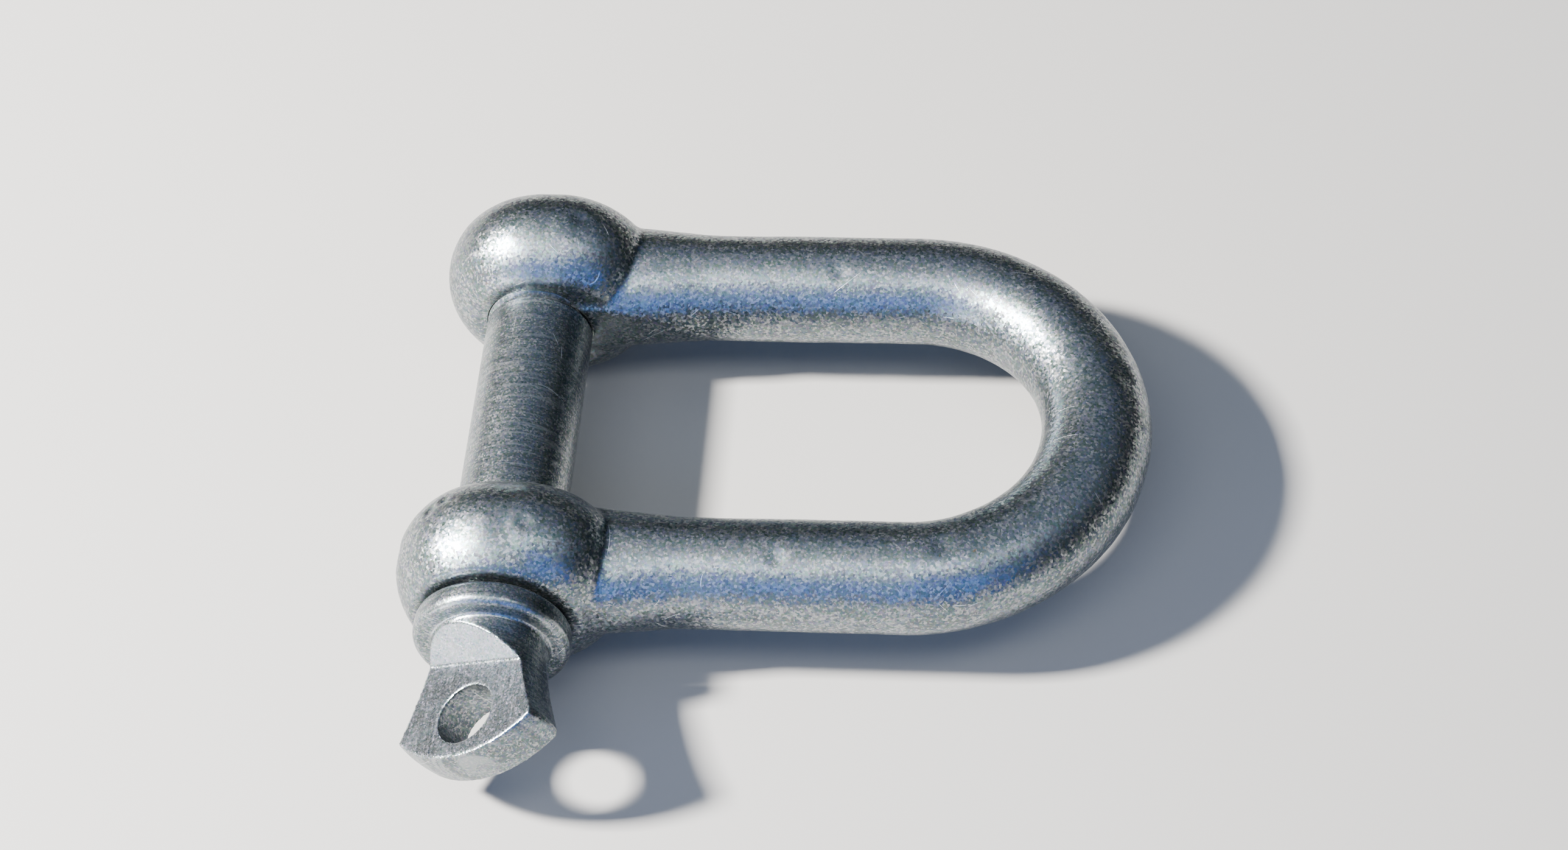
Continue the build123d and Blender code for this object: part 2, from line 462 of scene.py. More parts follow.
def bar():
    """The round bar: along the near leg, round the bow and back, with a flared neck at each ear."""
    sizes = body_sizes()
    radius = sizes.bar_radius
    flare = (1 + sizes.neck_flare_y / radius, 1 + sizes.neck_flare_z / radius)
    neck_steps = 5
    rings = [(0.0, flare)]
    for i in range(neck_steps + 1):
        share = i / neck_steps
        x = sizes.neck_start + (sizes.neck_end - sizes.neck_start) * share
        rings.append((x, tuple(f + (1 - f) * share for f in flare)))
    rings.append((bow_x(), (1.0, 1.0)))
    bpy.ops.mesh.primitive_circle_add(
        vertices=64, radius=radius, fill_type="NGON", location=(0, -leg_y(), 0), rotation=(0, math.pi / 2, 0)
    )
    obj = added("bar")
    edit(obj)
    bpy.ops.transform.resize(value=(1, *flare), center_override=(0, -leg_y(), 0))
    for (x_from, scale_from), (x_to, scale_to) in zip(rings, rings[1:]):
        ring_step(x_from, x_to, -leg_y(), scale_from, scale_to)
    bpy.ops.mesh.spin(steps=56, angle=math.pi, center=(bow_x(), 0, 0), axis=(0, 0, -1))
    rings.reverse()
    for (x_from, scale_from), (x_to, scale_to) in zip(rings, rings[1:]):
        ring_step(x_from, x_to, leg_y(), scale_from, scale_to)
    flat = radius + sizes.neck_flat
    for side in (-1, 1):
        for face in (-1, 1):
            plane = side * leg_y() + face * flat
            pick(obj, lambda co: co.x < sizes.neck_end and side * co.y > 0 and face * (co.y - plane) > 0)
            bpy.ops.transform.resize(value=(1, 0, 1), center_override=(0, plane, 0))
    leave_edit()
    close_up(obj)
    return obj


def bore_clear_hole(obj):
    """The near ear's drilled hole, with a broken edge at both faces."""
    sizes = body_sizes()
    radius, chamfer = sizes.near_hole_radius, sizes.hole_chamfer
    inner, outer = -jaw(), body_low.y
    wide = radius + chamfer + OVERRUN
    points = [(inner + OVERRUN, 0), (inner + OVERRUN, wide), (inner - chamfer, radius)]
    points += [(outer + chamfer, radius), (outer - OVERRUN, wide), (outer - OVERRUN, 0)]
    combine(obj, turned("drill", points), "DIFFERENCE")


def tap_far_hole(obj):
    """The far ear's tapped hole."""
    clearance = pin_sizes().thread_clearance
    tap = threaded_rod("tap", clearance, jaw() - OVERRUN, body_high.y + OVERRUN)
    combine(obj, tap, "DIFFERENCE")


class OBJECT_OT_shackle_body(bpy.types.Operator):
    """Model the forged body: the bent bar with its two ears, drilled and tapped for the pin"""

    bl_idname = "object.shackle_body"
    bl_label = "Shackle Body"
    bl_options = {"REGISTER", "UNDO"}

    def execute(self, context):
        sizes = body_sizes()
        body = bar()
        ears = [
            barrel("near_ear", -1, sizes.ear_face_radius, sizes.near_stretch),
            barrel("near_seat", -1, sizes.seat_radius, 0),
            barrel("far_ear", 1, sizes.ear_face_radius, sizes.far_stretch),
        ]
        alone(body)
        for ear in ears:
            ear.select_set(True)
        bpy.ops.object.join()
        body.name = "forged_body"
        forged_skin(body, sizes.voxel, 2)
        uneven(body, "forging_wave", 11 * MM, sizes.forging_wave)
        uneven(body, "forging_ripple", 2.6 * MM, sizes.forging_ripple)
        for place, depth, size in body_dents():
            dent(body, place, depth, size)
        bore_clear_hole(body)
        tap_far_hole(body)
        close_up(body)
        alone(body)
        bpy.ops.object.shade_smooth_by_angle(angle=math.radians(38))
        cavity_map(body)
        body.data.materials.clear()
        body.data.materials.append(galvanised("galvanised_forging"))
        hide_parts("shackle_body")
        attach(body, "body")
        return {"FINISHED"}


def body_dents():
    """Knocks on the forging: a place near the skin, and how deep and how wide each is."""
    ear_y = -(jaw() + body_sizes().ear_width / 2)
    out = body_sizes().ear_radius
    return [
        (Vector((-0.62 * out, ear_y + 2.0 * MM, 0.77 * out)), 0.40 * MM, 1.4 * MM),
        (Vector((-0.48 * out, ear_y + 3.2 * MM, 0.84 * out)), 0.35 * MM, 1.2 * MM),
        (Vector((0.35 * out, ear_y - 2 * MM, out)), 0.25 * MM, 1.8 * MM),
        (Vector((-0.8 * out, ear_y, 0.2 * out)), 0.35 * MM, 2.6 * MM),
        (Vector((40 * MM, -leg_y() - 3 * MM, 9 * MM)), 0.22 * MM, 2.2 * MM),
        (Vector((63 * MM, -leg_y(), 8 * MM)), 0.25 * MM, 2.4 * MM),
        (Vector((88 * MM, 6 * MM, 7 * MM)), 0.30 * MM, 2.8 * MM),
        (Vector((45 * MM, leg_y() - 3 * MM, 8 * MM)), 0.22 * MM, 2.0 * MM),
        (Vector((0.4 * out, -ear_y, 0.9 * out)), 0.30 * MM, 2.0 * MM),
    ]


# ---- the pin ----


def head_outline():
    """Half the section of the collar and the head, from the collar's back to the domed end."""
    sizes = pin_sizes()
    rim = sizes.collar_rim
    edge = sizes.collar_radius - rim
    flare_start = collar_front() - sizes.waist
    widest = flare_start - sizes.flare
    end = widest - sizes.dome
    points = [(collar_back(), 0), (collar_back(), edge - 2 * rim)]
    points += arc((collar_back() - rim, edge), rim, 0, 90, 6)
    points += arc((collar_front() + rim, edge), rim, 90, 180, 6)
    fillet = 0.5 * MM
    points += arc((collar_front() - fillet, sizes.neck_radius + fillet), fillet, 0, -90, 4)
    flare_steps = 12
    for i in range(flare_steps + 1):
        share = i / flare_steps
        sag = 4 * share * (1 - share) * sizes.flare_sag
        radius = sizes.neck_radius + (sizes.head_radius - sizes.neck_radius) * share - sag
        points.append((flare_start - sizes.flare * share, radius))
    points += [(end - OVERRUN, sizes.head_radius), (end - OVERRUN, 0)]
    return points


def head_envelope():
    """What the head is cut down to for its dome, part of a ball turned out of square with the pin."""
    sizes = pin_sizes()
    ball = (sizes.head_radius**2 + sizes.dome**2) / (2 * sizes.dome)
    widest = collar_front() - sizes.waist - sizes.flare
    reach = ball - sizes.dome
    middle = widest + reach * math.cos(sizes.dome_skew)
    points = [(0, 0), (0, ball), (middle, ball)]
    points += arc((middle, 0), ball, 90, 180, 48)[1:]
    envelope = turned("head_envelope", points, 128)
    alone(envelope)
    envelope.location.x = reach * math.sin(sizes.dome_skew)
    bpy.ops.object.transform_apply(location=True, rotation=False, scale=False)
    return envelope


def tang_cutter(face):
    """The block that leaves one flat of the tang, with a sloped end for its shoulder."""
    sizes = pin_sizes()
    half = sizes.tang_thickness / 2
    foot = collar_front() - sizes.shoulder
    depth = 2 * sizes.head_radius
    low = pin_low.y - depth
    reach = 4 * sizes.head_radius
    bpy.ops.mesh.primitive_cube_add(size=1, location=(0, (low + foot) / 2, face * (half + depth / 2)))
    block = bpy.context.object
    block.scale = (reach, foot - low, depth)
    block = added("tang_cutter")
    edit(block, "DESELECT")
    pick(block, lambda co: co.y > foot - HIDDEN and abs(co.z) > half + HIDDEN)
    bpy.ops.transform.translate(value=(0, depth / math.tan(sizes.shoulder_angle), 0))
    leave_edit()
    about_foot = Matrix.Translation((0, foot, 0))
    skew = Matrix.Rotation(-face * sizes.shoulder_skew, 4, "Z")
    block.matrix_world = about_foot @ skew @ about_foot.inverted()
    block = added("tang_cutter")
    edit(block)
    stop = collar_front() - HIDDEN
    bpy.ops.mesh.bisect(plane_co=(0, stop, 0), plane_no=(0, 1, 0), use_fill=True, clear_outer=True)
    bpy.ops.mesh.select_all(action="SELECT")
    bpy.ops.mesh.normals_make_consistent(inside=False)
    leave_edit()
    return block


def tang_hole_cutter():
    """A drill through the tang, with the hole's edges left plain."""
    hole = mounts["tang_hole"]
    bpy.ops.mesh.primitive_cylinder_add(
        vertices=72,
        radius=hole["dims"]["r_mm"] * MM,
        depth=4 * pin_sizes().tang_thickness,
        location=(0, hole["pos_m"][1], 0),
    )
    return added("tang_drill")


def lay_over(obj):
    """Turn a shape that was made flat to the tang's own lean about the pin's axis."""
    alone(obj)
    obj.rotation_euler = (0, math.atan2(tang_axis.x, tang_axis.z), 0)
    bpy.ops.object.transform_apply(location=False, rotation=True, scale=False)


def pin_shank():
    """The shank, from inside the collar to a stub inside the thread."""
    sizes = pin_sizes()
    radius = sizes.shank_radius
    start = jaw() - sizes.thread_runout
    stub = radius - thread_depth() - HIDDEN
    return turned(
        "shank",
        [
            (collar_back() - OVERRUN, 0),
            (collar_back() - OVERRUN, radius + sizes.underhead_swell),
            (collar_back(), radius + sizes.underhead_swell),
            (-jaw(), radius),
            (-jaw() / 2, radius),
            (0, radius),
            (start - thread_depth() / 2, radius),
            (start, stub),
            (start + 1.5 * MM, stub),
            (start + 1.5 * MM, 0),
        ],
    )


def pin_thread():
    """The pin's thread, cut back to a chamfered tip."""
    sizes = pin_sizes()
    start = jaw() - sizes.thread_runout / 2
    chamfer = thread_depth() + TIP_CHAMFER_EXTRA
    thread = threaded_rod("thread", 0.0, start, pin_high.y)
    wide = sizes.shank_radius + OVERRUN
    blank = turned(
        "tip_blank",
        [
            (start, 0),
            (start, wide),
            (pin_high.y - chamfer - OVERRUN, wide),
            (pin_high.y, sizes.shank_radius - chamfer),
            (pin_high.y + HIDDEN, 0),
        ],
    )
    combine(thread, blank, "INTERSECT")
    return thread


class OBJECT_OT_screw_pin(bpy.types.Operator):
    """Model the screw pin: thread, shank, collar and the flattened head with its hole"""

    bl_idname = "object.screw_pin"
    bl_label = "Screw Pin"
    bl_options = {"REGISTER", "UNDO"}

    def execute(self, context):
        sizes = pin_sizes()
        pin = turned("screw_pin_piece", head_outline())
        for tool, operation in (
            (head_envelope(), "INTERSECT"),
            (tang_cutter(-1), "DIFFERENCE"),
            (tang_cutter(1), "DIFFERENCE"),
            (tang_hole_cutter(), "DIFFERENCE"),
        ):
            lay_over(tool)
            combine(pin, tool, operation)
        forged_skin(pin, sizes.detail, 3)
        uneven(pin, "head_wave", 6 * MM, 0.09 * MM)
        combine(pin, pin_shank(), "UNION")
        combine(pin, pin_thread(), "UNION")
        close_up(pin)
        alone(pin)
        bpy.ops.object.shade_smooth_by_angle(angle=math.radians(30))
        cavity_map(pin)
        pin.data.materials.clear()
        pin.data.materials.append(galvanised("galvanised_pin", fine=True))
        pin.data.materials.append(machined("machined_flats"))
        paint_flats(pin)
        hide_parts("screw_pin")
        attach(pin, "pin")
        return {"FINISHED"}


def paint_flats(pin):
    """Give the tang's flats and shoulders the machined finish."""
    sizes = pin_sizes()
    slopes = []
    for face in (-1, 1):
        flat = face * tang_axis
        shoulder = flat * math.cos(sizes.shoulder_angle)
        shoulder -= Vector((0, 1, 0)) * math.sin(sizes.shoulder_angle)
        slopes += [flat, Matrix.Rotation(-face * sizes.shoulder_skew, 3, tang_axis) @ shoulder]
    edit(pin, "DESELECT")
    bpy.ops.mesh.select_mode(type="FACE")
    mesh = bmesh.from_edit_mesh(pin.data)
    for face in mesh.faces:
        place = face.calc_center_median()
        on_head = pin_low.y + sizes.dome * 0.2 < place.y < collar_front() - HIDDEN
        if on_head and max(face.normal.dot(slope) for slope in slopes) > 0.97:
            face.select_set(True)
    bmesh.update_edit_mesh(pin.data)
    pin.active_material_index = 1
    bpy.ops.object.material_slot_assign()
    leave_edit()


# ---- finishes ----

# In these, scales are repeats to the metre, and a band's first two numbers are where it starts and ends.

MID_COLOUR = (0.5, 0.5, 0.5)


def cavity_map(obj):
    """Paint a map that is dark in corners and light on edges, for the painted shade and dirt in corners and
    the wear on edges.
    """
    alone(obj)
    bpy.ops.geometry.color_attribute_add(name="cavity", domain="POINT", data_type="FLOAT_COLOR")
    bpy.ops.object.mode_set(mode="VERTEX_PAINT")
    bpy.ops.paint.vertex_color_dirt(blur_strength=1.0, blur_iterations=4, dirt_angle=math.radians(60))
    bpy.ops.object.mode_set(mode="OBJECT")


def add_node(tree, kind, inputs=(), **settings):
    """A node with its settings, and its inputs set to values or linked from sockets."""
    node = tree.nodes.new(kind)
    for key, value in settings.items():
        setattr(node, key, value)
    for key, value in dict(inputs).items():
        if isinstance(value, bpy.types.NodeSocket):
            tree.links.new(value, node.inputs[key])
        else:
            node.inputs[key].default_value = value
    return node


def math_node(tree, operation, a, b=0.0, c=0.0, clamp=False):
    node = add_node(tree, "ShaderNodeMath", {0: a, 1: b, 2: c}, operation=operation, use_clamp=clamp)
    return node.outputs[0]


def vector_node(tree, operation, a, b=(0.0, 0.0, 0.0)):
    node = add_node(tree, "ShaderNodeVectorMath", {0: a, 1: b}, operation=operation)
    return node.outputs["Value" if operation in ("DOT_PRODUCT", "LENGTH") else "Vector"]


def band(tree, value, low, high, to_low=0.0, to_high=1.0):
    """A smooth step of a value, from low to high."""
    inputs = {"Value": value, "From Min": low, "From Max": high, "To Min": to_low, "To Max": to_high}
    return add_node(tree, "ShaderNodeMapRange", inputs, interpolation_type="SMOOTHSTEP").outputs["Result"]


def mixed(tree, share, a, b, blend="MIX"):
    node = add_node(tree, "ShaderNodeMix", data_type="RGBA", blend_type=blend)
    for key, value in ((0, share), (6, a), (7, b)):
        if isinstance(value, bpy.types.NodeSocket):
            tree.links.new(value, node.inputs[key])
        else:
            node.inputs[key].default_value = value
    return node.outputs[2]


def noise(tree, place, scale, detail=2.0, roughness=0.5):
    inputs = {"Vector": place, "Scale": scale, "Detail": detail, "Roughness": roughness}
    return add_node(tree, "ShaderNodeTexNoise", inputs).outputs["Fac"]


def cells(tree, place, scale):
    """Random cells: the distance to each one's middle, its colour and its position."""
    return add_node(tree, "ShaderNodeTexVoronoi", {"Vector": place, "Scale": scale}).outputs


def parts(tree, value):
    return add_node(tree, "ShaderNodeSeparateColor", {"Color": value}).outputs


def stretched(tree, place, scale):
    return add_node(tree, "ShaderNodeMapping", {"Vector": place, "Scale": scale}).outputs["Vector"]


def new_group(name, inputs, outputs):
    """An empty shader node group, with its named inputs and outputs."""
    tree = bpy.data.node_groups.new(name, "ShaderNodeTree")
    for label, kind in inputs:
        tree.interface.new_socket(label, in_out="INPUT", socket_type=kind)
    for label, kind in outputs:
        tree.interface.new_socket(label, in_out="OUTPUT", socket_type=kind)
    source = tree.nodes.new("NodeGroupInput").outputs
    target = tree.nodes.new("NodeGroupOutput").inputs
    return tree, source, target


def zinc_grain_group():
    """Sparkling crystals: a faint colour and a brightness for each, and a height for the bump."""
    name = "zinc_grain"
    if name in bpy.data.node_groups:
        return bpy.data.node_groups[name]
    tree, source, target = new_group(
        name,
        [("Vector", "NodeSocketVector"), ("Scale", "NodeSocketFloat")],
        [("Tint", "NodeSocketColor"), ("Spark", "NodeSocketFloat"), ("Height", "NodeSocketFloat")],
    )
    place, scale = source["Vector"], source["Scale"]
    crystal = cells(tree, place, scale)["Color"]
    draws = parts(tree, crystal)
    fine = noise(tree, place, math_node(tree, "MULTIPLY", scale, 0.8), 2.0, 0.7)
    spark = math_node(tree, "MULTIPLY_ADD", draws["Red"], 0.5, math_node(tree, "MULTIPLY", fine, 0.5))
    height = math_node(tree, "ADD", fine, math_node(tree, "MULTIPLY", draws["Green"], 0.6))
    tree.links.new(crystal, target["Tint"])
    tree.links.new(spark, target["Spark"])
    tree.links.new(height, target["Height"])
    return tree


def weathering_group():
    """Cloudy dulling, darker blotches and small stains."""
    name = "weathering"
    if name in bpy.data.node_groups:
        return bpy.data.node_groups[name]
    outputs = [("Dull", "NodeSocketFloat"), ("Patches", "NodeSocketFloat"), ("Stains", "NodeSocketFloat")]
    tree, source, target = new_group(name, [("Vector", "NodeSocketVector")], outputs)
    place = source["Vector"]
    along_bar = stretched(tree, place, (0.35, 1.0, 1.0))
    broad = band(tree, noise(tree, along_bar, 260.0, 8.0, 0.72), 0.38, 0.62)
    mottle = band(tree, noise(tree, place, 1100.0, 4.0, 0.7), 0.38, 0.64)
    dull = math_node(tree, "MULTIPLY_ADD", mottle, 0.45, math_node(tree, "MULTIPLY", broad, 0.55))
    patches = band(tree, noise(tree, place, 210.0, 9.0, 0.75), 0.53, 0.70)
    speckle = band(tree, noise(tree, place, 1400.0, 3.0, 0.6), 0.66, 0.74)
    stains = math_node(tree, "MULTIPLY", speckle, band(tree, noise(tree, place, 90.0, 2.0), 0.56, 0.64))
    tree.links.new(dull, target["Dull"])
    tree.links.new(patches, target["Patches"])
    tree.links.new(stains, target["Stains"])
    return tree


def crystal_normal(tree, place, scale, lean):
    """The surface's normal, tipped a little at random in each zinc crystal."""
    facing = tree.nodes.new("ShaderNodeNewGeometry").outputs["Normal"]
    tip = vector_node(tree, "SUBTRACT", cells(tree, place, scale)["Color"], MID_COLOUR)
    tip = vector_node(tree, "MULTIPLY", tip, (lean, lean, lean))
    return vector_node(tree, "NORMALIZE", vector_node(tree, "ADD", facing, tip))


def knocks_group():
    """Short straight scratches and small pits, as masks."""
    name = "knocks"
    if name in bpy.data.node_groups:
        return bpy.data.node_groups[name]
    outputs = [("Scratches", "NodeSocketFloat"), ("Pits", "NodeSocketFloat")]
    tree, source, target = new_group(name, [("Vector", "NodeSocketVector")], outputs)
    place = source["Vector"]
    scratches = None
    # each cell holds one thin disc at a random lean, which crosses the skin in a straight line
    for scale, width, reach in ((130.0, 0.022 * MM, 3.2 * MM), (300.0, 0.015 * MM, 1.4 * MM)):
        cell = cells(tree, place, scale)
        apart = vector_node(tree, "SUBTRACT", place, cell["Position"])
        lean = vector_node(tree, "NORMALIZE", vector_node(tree, "SUBTRACT", cell["Color"], MID_COLOUR))
        off = math_node(tree, "ABSOLUTE", vector_node(tree, "DOT_PRODUCT", apart, lean))
        thin = band(tree, off, width * 0.5, width * 2, 1.0, 0.0)
        near = band(tree, vector_node(tree, "LENGTH", apart), reach * 0.5, reach, 1.0, 0.0)
        chance = band(tree, parts(tree, cell["Color"])["Blue"], 0.62, 0.80)
        drawn = math_node(tree, "MULTIPLY", math_node(tree, "MULTIPLY", thin, near), chance)
        scratches = drawn if scratches is None else math_node(tree, "MAXIMUM", scratches, drawn)
    pit = cells(tree, place, 480.0)
    hollow = band(tree, pit["Distance"], 0.08, 0.20, 1.0, 0.0)
    chosen = band(tree, parts(tree, pit["Color"])["Red"], 0.78, 0.84)
    pits = math_node(tree, "MULTIPLY", hollow, chosen)
    tree.links.new(scratches, target["Scratches"])
    tree.links.new(pits, target["Pits"])
    return tree


def placed_group(tree, group, **inputs):
    node = tree.nodes.new("ShaderNodeGroup")
    node.node_tree = group
    for key, value in inputs.items():
        if isinstance(value, bpy.types.NodeSocket):
            tree.links.new(value, node.inputs[key])
        else:
            node.inputs[key].default_value = value
    return node.outputs


def new_material(name):
    """An empty material with a metallic Principled BSDF, and its Object coordinates."""
    material = bpy.data.materials.new(name)
    material.use_nodes = True
    tree = material.node_tree
    tree.nodes.clear()
    shader = tree.nodes.new("ShaderNodeBsdfPrincipled")
    shader.inputs["Metallic"].default_value = 1.0
    out = tree.nodes.new("ShaderNodeOutputMaterial")
    tree.links.new(shader.outputs["BSDF"], out.inputs["Surface"])
    place = tree.nodes.new("ShaderNodeTexCoord").outputs["Object"]
    return material, tree, shader, place


def bump(tree, height, distance, strength, below=None):
    inputs = {"Height": height, "Distance": distance, "Strength": strength}
    if below is not None:
        inputs["Normal"] = below
    return add_node(tree, "ShaderNodeBump", inputs).outputs["Normal"]


def rgba(values):
    return (*values, 1.0)


def galvanised(name, fine=False):
    """Weathered zinc over a forging. The fine one is smoother, with turning lines round the pin."""
    colours = finish_values()
    material, tree, shader, place = new_material(name)
    grain_scale = 1 / colours.grain * (1.3 if fine else 1.0)
    grain = placed_group(tree, zinc_grain_group(), Vector=place, Scale=grain_scale)
    weather = placed_group(tree, weathering_group(), Vector=place)
    knocks = placed_group(tree, knocks_group(), Vector=place)
    cavity = add_node(tree, "ShaderNodeAttribute", attribute_name="cavity").outputs["Fac"]
    base = mixed(tree, weather["Dull"], rgba(colours.zinc), rgba(colours.dull_zinc))
    base = mixed(tree, band(tree, grain["Spark"], 0.24, 0.46, 0.9, 0.0), base, rgba(colours.dull_zinc))
    base = mixed(tree, band(tree, grain["Spark"], 0.56, 0.72, 0.0, 1.0), base, rgba(colours.worked_zinc))
    if fine:
        lines = noise(tree, stretched(tree, place, (90.0, 2300.0, 90.0)), 1.0, 3.0, 0.6)
        base = mixed(tree, band(tree, lines, 0.52, 0.68, 0.0, 0.7), base, rgba(colours.worked_zinc))
        base = mixed(tree, band(tree, lines, 0.32, 0.46, 0.6, 0.0), base, rgba(colours.dull_zinc))
    tinted = mixed(tree, 0.22, base, grain["Tint"], "OVERLAY")
    # Painted shade: corners and hollows found by the cavity map are darkened, on top of the real blotches
    # and pits.
    corner = band(tree, cavity, 0.0, 0.14, 0.8, 0.0)
    dark = math_node(tree, "MAXIMUM", corner, math_node(tree, "MULTIPLY", weather["Patches"], 0.75))
    dark = math_node(tree, "MAXIMUM", dark, math_node(tree, "MULTIPLY", knocks["Pits"], 0.7))
    shaded_and_dirty = mixed(tree, math_node(tree, "MULTIPLY", dark, 0.8), tinted, rgba(colours.grime_and_shade))
    stained = mixed(tree, math_node(tree, "MULTIPLY", weather["Stains"], 0.6), shaded_and_dirty, rgba(colours.rust))
    edge = math_node(tree, "MULTIPLY", band(tree, cavity, 0.60, 0.82), 0.6)
    bright = math_node(tree, "MAXIMUM", edge, math_node(tree, "MULTIPLY", knocks["Scratches"], 0.9))
    final = mixed(tree, bright, stained, rgba(colours.worked_zinc))
    tree.links.new(final, shader.inputs["Base Color"])
    rough = math_node(tree, "MULTIPLY_ADD", weather["Dull"], 0.10, 0.09)
    rough = math_node(tree, "MULTIPLY_ADD", dark, 0.22, rough)
    rough = math_node(tree, "MULTIPLY_ADD", grain["Spark"], 0.06, rough)
    rough = math_node(tree, "MULTIPLY_ADD", bright, -0.06, rough, clamp=True)
    tree.links.new(rough, shader.inputs["Roughness"])
    tipped = crystal_normal(tree, place, grain_scale, 0.11 if fine else 0.17)
    normal = bump(tree, noise(tree, place, 420.0, 2.0, 0.5), 0.05 * MM, 0.3 if fine else 0.8, tipped)
    if fine:
        normal = bump(tree, lines, 0.030 * MM, 0.6, normal)
    normal = bump(tree, grain["Height"], 0.006 * MM, 0.5, normal)
    marks = math_node(tree, "ADD", knocks["Scratches"], knocks["Pits"])
    normal = bump(tree, math_node(tree, "MULTIPLY", marks, -1.0), 0.025 * MM, 0.5, normal)
    tree.links.new(normal, shader.inputs["Normal"])
    return material


def machined(name):
    """The tang's flats: brighter zinc, finely speckled, with tool lines along the pin."""
    colours = finish_values()
    material, tree, shader, place = new_material(name)
    grain = placed_group(tree, zinc_grain_group(), Vector=place, Scale=1.4 / colours.grain)
    weather = placed_group(tree, weathering_group(), Vector=place)
    knocks = placed_group(tree, knocks_group(), Vector=place)
    lines = noise(tree, stretched(tree, place, (2400.0, 110.0, 2400.0)), 1.0, 2.0)
    cavity = add_node(tree, "ShaderNodeAttribute", attribute_name="cavity").outputs["Fac"]
    clean = band(tree, weather["Dull"], 0.0, 0.55, 0.6, 1.0)
    base = mixed(tree, clean, rgba(colours.worked_zinc), rgba(colours.zinc))
    base = mixed(tree, band(tree, grain["Spark"], 0.22, 0.38, 0.5, 0.0), base, rgba(colours.dull_zinc))
    tinted = mixed(tree, 0.20, base, grain["Tint"], "OVERLAY")
    tinted = mixed(tree, band(tree, lines, 0.35, 0.50, 0.15, 0.0), tinted, rgba(colours.dull_zinc))
    # Painted shade: corners of the flats found by the cavity map are darkened, along with the pits.
    dark = math_node(tree, "MAXIMUM", knocks["Pits"], band(tree, cavity, 0.0, 0.14, 1.0, 0.0))
    shaded_and_dirty = mixed(tree, math_node(tree, "MULTIPLY", dark, 0.4), tinted, rgba(colours.grime_and_shade))
    stained = mixed(tree, math_node(tree, "MULTIPLY", weather["Stains"], 0.35), shaded_and_dirty, rgba(colours.rust))
    tree.links.new(stained, shader.inputs["Base Color"])
    rough = math_node(tree, "MULTIPLY_ADD", weather["Dull"], 0.07, 0.15)
    rough = math_node(tree, "MULTIPLY_ADD", grain["Spark"], 0.08, rough)
    rough = math_node(tree, "MULTIPLY_ADD", lines, 0.08, rough, clamp=True)
    tree.links.new(rough, shader.inputs["Roughness"])
    tipped = crystal_normal(tree, place, 1.4 / colours.grain, 0.18)
    normal = bump(tree, lines, 0.014 * MM, 0.6, tipped)
    normal = bump(tree, grain["Height"], 0.005 * MM, 0.5, normal)
    normal = bump(tree, math_node(tree, "MULTIPLY", knocks["Pits"], -1.0), 0.03 * MM, 0.6, normal)
    tree.links.new(normal, shader.inputs["Normal"])
    return material


# ---- the stage ----


def floor_material():
    """A plain pale floor, not quite even."""
    material, tree, shader, place = new_material("pale_floor")
    shader.inputs["Metallic"].default_value = 0.0
    shader.inputs["Roughness"].default_value = 0.7
    pale = bpy.context.scene.shackle_stage.floor
    soft = noise(tree, place, 9.0, 3.0)
    shaded = [channel * 0.96 for channel in pale]
    tree.links.new(mixed(tree, soft, rgba(pale), rgba(shaded)), shader.inputs["Base Color"])
    return material


MIDDLE = Vector((35 * MM, 0, 0))
HEAD = Vector((0, -50 * MM, 0))

# Each light: what it is aimed at, its direction and distance from there, its size, power and tint.
LIGHTS = {
    "key": (MIDDLE, (-0.72, -0.13, 0.68), 0.75, (0.08, 0.08), "key_power", (1.0, 0.98, 0.95)),
    "front_card": (MIDDLE, (-0.05, -0.90, 0.45), 0.85, (1.5, 0.62), "card_power", (0.14, 0.35, 1.0)),
    "low_card": (HEAD, (-0.61, -0.78, 0.12), 0.55, (0.30, 0.16), "low_power", (1.0, 0.99, 0.97)),
    "top": (MIDDLE, (0.05, -0.36, 0.93), 0.90, (1.0, 0.26), "sky_power", (0.90, 0.95, 1.0)),
}
HORIZON = (0.016, 0.020, 0.017, 1)
ZENITH = (0.36, 0.46, 0.66, 1)
FLOOR_SIZE = 6


def soft_light(name, aim, direction, distance, size, power_name, tint):
    """An area light in a direction from a place, aimed back at it."""
    direction = Vector(direction).normalized()
    bpy.ops.object.light_add(type="AREA", location=aim + direction * distance)
    light = bpy.context.object
    light.name = name
    light.data.shape = "RECTANGLE"
    light.data.size, light.data.size_y = size
    light.data.energy = getattr(bpy.context.scene.shackle_stage, power_name)
    light.data.color = tint
    light.rotation_euler = (-direction).to_track_quat("-Z", "Y").to_euler()


def studio_glow():
    """The world: dark at the horizon and cool overhead, for the zinc to reflect."""
    world = bpy.data.worlds.new("studio")
    world.use_nodes = True
    tree = world.node_tree
    background = tree.nodes["Background"]
    direction = tree.nodes.new("ShaderNodeTexCoord").outputs["Generated"]
    up = add_node(tree, "ShaderNodeSeparateXYZ", {0: direction}).outputs["Z"]
    glow = mixed(tree, band(tree, up, 0.30, 1.0), HORIZON, ZENITH)
    tree.links.new(glow, background.inputs["Color"])
    background.inputs["Strength"].default_value = 0.8
    bpy.context.scene.world = world


def place_camera():
    """The camera, round, up and leaning by its angles, at its distance from the focus."""
    values = bpy.context.scene.shackle_stage
    turn = Matrix.Rotation(values.azimuth, 3, "Z")
    turn @= Matrix.Rotation(math.pi / 2 - values.elevation, 3, "X")
    turn @= Matrix.Rotation(values.roll, 3, "Z")
    backwards = turn @ Vector((0, 0, 1))
    bpy.ops.object.camera_add(location=Vector(values.focus) + backwards * values.distance)
    camera = bpy.context.object
    camera.name = "camera"
    camera.rotation_euler = turn.to_euler()
    camera.data.lens = values.focal_length
    camera.data.sensor_width = 36
    camera.data.clip_start = 10 * MM
    bpy.context.scene.camera = camera


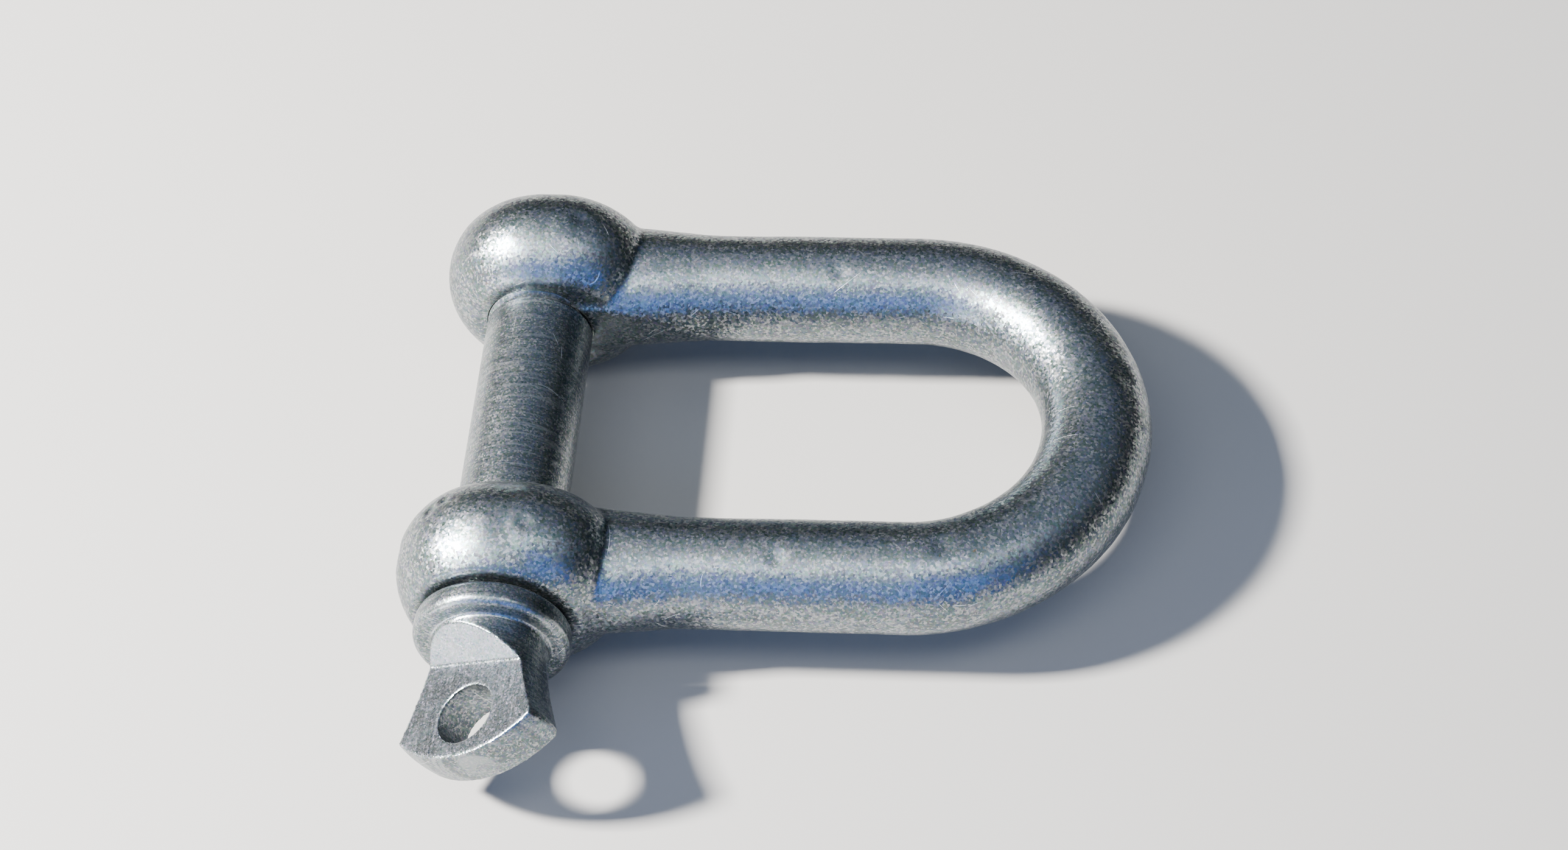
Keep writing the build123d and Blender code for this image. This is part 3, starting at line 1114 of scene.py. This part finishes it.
class OBJECT_OT_shackle_stage(bpy.types.Operator):
    """Set up the pale floor, the soft lights and the camera"""

    bl_idname = "object.shackle_stage"
    bl_label = "Shackle Stage"
    bl_options = {"REGISTER", "UNDO"}

    def execute(self, context):
        bpy.ops.mesh.primitive_plane_add(size=FLOOR_SIZE, location=(0, 0, cad_low.z))
        floor = added("floor")
        floor.data.materials.append(floor_material())
        for name, light in LIGHTS.items():
            soft_light(name, *light)
        studio_glow()
        place_camera()
        return {"FINISHED"}


# ---- the add-on ----


class VIEW3D_PT_shackle(bpy.types.Panel):
    """The steps that make the shackle, and its sizes"""

    bl_idname = "VIEW3D_PT_shackle"
    bl_label = "Dee Shackle"
    bl_space_type = "VIEW_3D"
    bl_region_type = "UI"
    bl_category = "Shackle"

    def draw(self, context):
        layout = self.layout
        layout.operator("object.shackle_body")
        layout.operator("object.screw_pin")
        layout.operator("object.shackle_stage")
        for group in ("shackle_body", "shackle_pin", "shackle_finish", "shackle_stage"):
            box = layout.box()
            values = getattr(context.scene, group)
            for key in values.bl_rna.properties.keys():
                if key not in ("rna_type", "name"):
                    box.prop(values, key)


GROUPS = {
    "shackle_body": ShackleBodySizes,
    "shackle_pin": ShacklePinSizes,
    "shackle_finish": ShackleFinish,
    "shackle_stage": ShackleStage,
}
OPERATORS = (OBJECT_OT_shackle_body, OBJECT_OT_screw_pin, OBJECT_OT_shackle_stage)


def register():
    for name, group in GROUPS.items():
        bpy.utils.register_class(group)
        setattr(bpy.types.Scene, name, PointerProperty(type=group))
    for operator in OPERATORS:
        bpy.utils.register_class(operator)
    bpy.utils.register_class(VIEW3D_PT_shackle)


def unregister():
    bpy.utils.unregister_class(VIEW3D_PT_shackle)
    for operator in reversed(OPERATORS):
        bpy.utils.unregister_class(operator)
    for name, group in reversed(GROUPS.items()):
        delattr(bpy.types.Scene, name)
        bpy.utils.unregister_class(group)


def main():
    register()
    bpy.ops.object.shackle_body()
    bpy.ops.object.screw_pin()
    bpy.ops.object.shackle_stage()


if __name__ == "__main__":
    main()
